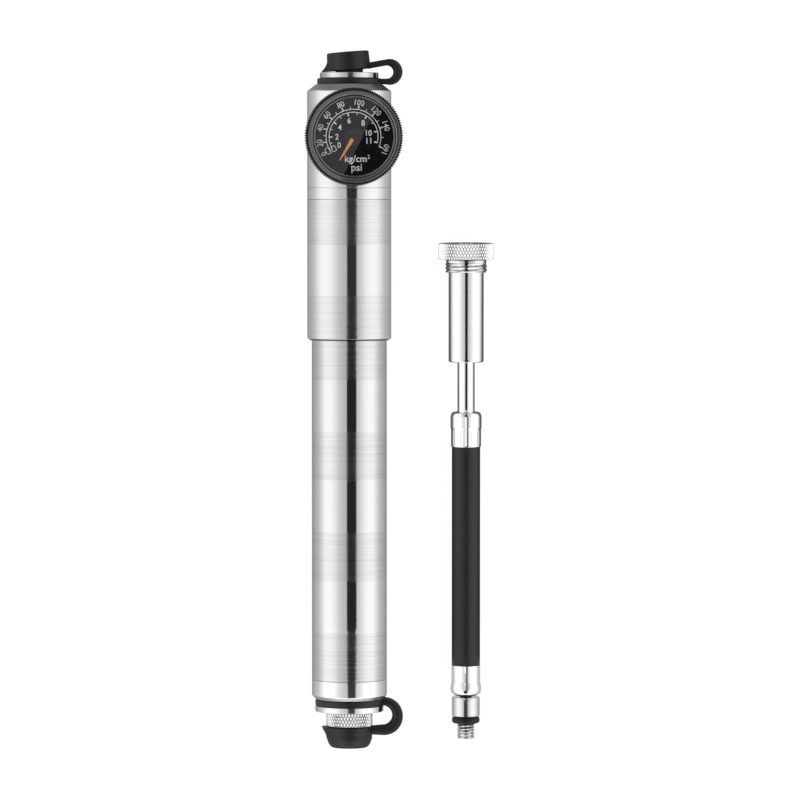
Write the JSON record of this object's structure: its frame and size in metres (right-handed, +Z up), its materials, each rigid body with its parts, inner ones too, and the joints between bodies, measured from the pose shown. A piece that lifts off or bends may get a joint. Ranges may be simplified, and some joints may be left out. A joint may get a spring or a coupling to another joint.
{
  "type": "bicycle mini pump",
  "caption": "Slim aluminium bicycle hand pump with a round pressure gauge, a sliding handle, tethered rubber caps and a short loose hose with a knurled screw-on chuck.",
  "frame": {"origin": "on the table, under the middle of the pump's own box (the loose hose beside it is not counted)", "axes": "+Y along the pump, from the handle's end cap to the head's outlet; +Z up, towards the gauge's face; +X towards the loose hose"},
  "size_m": [0.0628, 0.2324, 0.0379],
  "materials": {
    "brushed_alloy": "fine turned rings, polished between them",
    "knurled_alloy": "diamond knurled, polished",
    "plain_alloy": "smooth drawn",
    "hose_metal": "bright polished",
    "steel": "ground",
    "brass": "turned",
    "black_metal": "satin black",
    "dial_face": "matt black with white print",
    "dial_print": "white print",
    "needle_paint": "matt orange",
    "gauge_glass": "clear, flat",
    "cap_rubber": "soft moulded",
    "hose_rubber": "extruded, satin",
    "seal_rubber": "smooth",
    "guide_plastic": "moulded"
  },
  "bodies": {
    "head": {"head_body": "brushed_alloy", "outlet_fitting": "brushed_alloy", "collar_ring": "brushed_alloy", "grip_sleeve": "brushed_alloy", "sleeve_guide": "guide_plastic", "cylinder_tube": "plain_alloy", "gland_nut": "black_metal", "rod_wiper": "seal_rubber", "valve_seat": "brass", "head_seal": "seal_rubber", "valve_spring": "steel", "gauge_stem": "brass", "gauge_case": "black_metal", "gauge_bezel": "black_metal", "gauge_gasket": "seal_rubber", "gauge_lens": "gauge_glass", "gauge_dial": "dial_face", "gauge_stop_pin": "steel", "bourdon_coil": "brass", "top_cap_ring": "cap_rubber", "top_cap_strap": "cap_rubber"},
    "valve": {"valve_poppet": "seal_rubber"},
    "needle": {"needle_arbor": "steel", "needle_hub": "dial_face", "needle": "needle_paint"},
    "top_cap": {"top_cap": "cap_rubber"},
    "piston": {"piston_head": "plain_alloy", "piston_seal": "seal_rubber", "piston_clip": "steel"},
    "handle": {"rod_bush": "brass", "piston_rod": "plain_alloy", "handle_tube": "brushed_alloy", "handle_guide": "guide_plastic", "end_cap": "brushed_alloy", "stroke_bumper": "seal_rubber", "store_plug": "knurled_alloy", "bottom_cap_ring": "cap_rubber", "bottom_cap_strap": "cap_rubber"},
    "bottom_cap": {"bottom_cap": "cap_rubber"},
    "hose": {"hose_tube": "hose_rubber", "upper_ferrule": "hose_metal", "chuck_stem": "hose_metal", "stem_plug": "brass", "valve_gasket": "seal_rubber", "valve_pin": "brass", "lower_ferrule": "hose_metal", "tip_barb": "brass"},
    "chuck_slider": {"chuck_oring": "seal_rubber"},
    "chuck": {"chuck_sleeve": "hose_metal"},
    "tip": {"tip_fitting": "hose_metal", "tip_oring": "seal_rubber"}
  },
  "joints": [
    {"name": "pump_stroke", "type": "slide", "parent": "head", "child": "piston", "axis": [0, -1, 0], "range_m": [0, 0.13]},
    {"name": "handle_spin", "type": "hinge", "parent": "piston", "child": "handle", "pos_m": [-0.0017, 0, 0.014], "axis": [0, 1, 0], "continuous": true},
    {"name": "valve_lift", "type": "slide", "parent": "head", "child": "valve", "axis": [0, 1, 0], "range_m": [0, 0.001], "stiffness_N_per_m": 8, "deforming": ["valve_spring"]},
    {"name": "needle_sweep", "type": "hinge", "parent": "head", "child": "needle", "pos_m": [-0.0017, 0.08725, 0.014], "axis": [-0.0872, 0, -0.9962], "range_deg": [0, 269], "stiffness_Nm_per_rad": 0.00001},
    {"name": "top_cap_swing", "type": "hinge", "parent": "head", "child": "top_cap", "pos_m": [0.0153, 0.108, 0.014], "axis": [0, 0, -1], "range_deg": [0, 100], "deforming": ["top_cap_strap"]},
    {"name": "bottom_cap_swing", "type": "hinge", "parent": "handle", "child": "bottom_cap", "pos_m": [0.0145, -0.105, 0.014], "axis": [0, 0, 1], "range_deg": [0, 100], "deforming": ["bottom_cap_strap"]},
    {"name": "hose_draw", "type": "slide", "parent": "head", "child": "hose", "axis": [0, -1, 0], "range_m": [0, 0.16]},
    {"name": "chuck_slide", "type": "slide", "parent": "hose", "child": "chuck_slider", "axis": [0, -0.9996, -0.028], "range_m": [0, 0.0155]},
    {"name": "chuck_spin", "type": "hinge", "parent": "chuck_slider", "child": "chuck", "pos_m": [0.0373, 0, 0.00796], "axis": [0, 0.9996, 0.028], "continuous": true},
    {"name": "tip_swivel", "type": "hinge", "parent": "hose", "child": "tip", "pos_m": [0.0373, 0, 0.00796], "axis": [0, 0.9996, 0.028], "continuous": true}
  ]
}
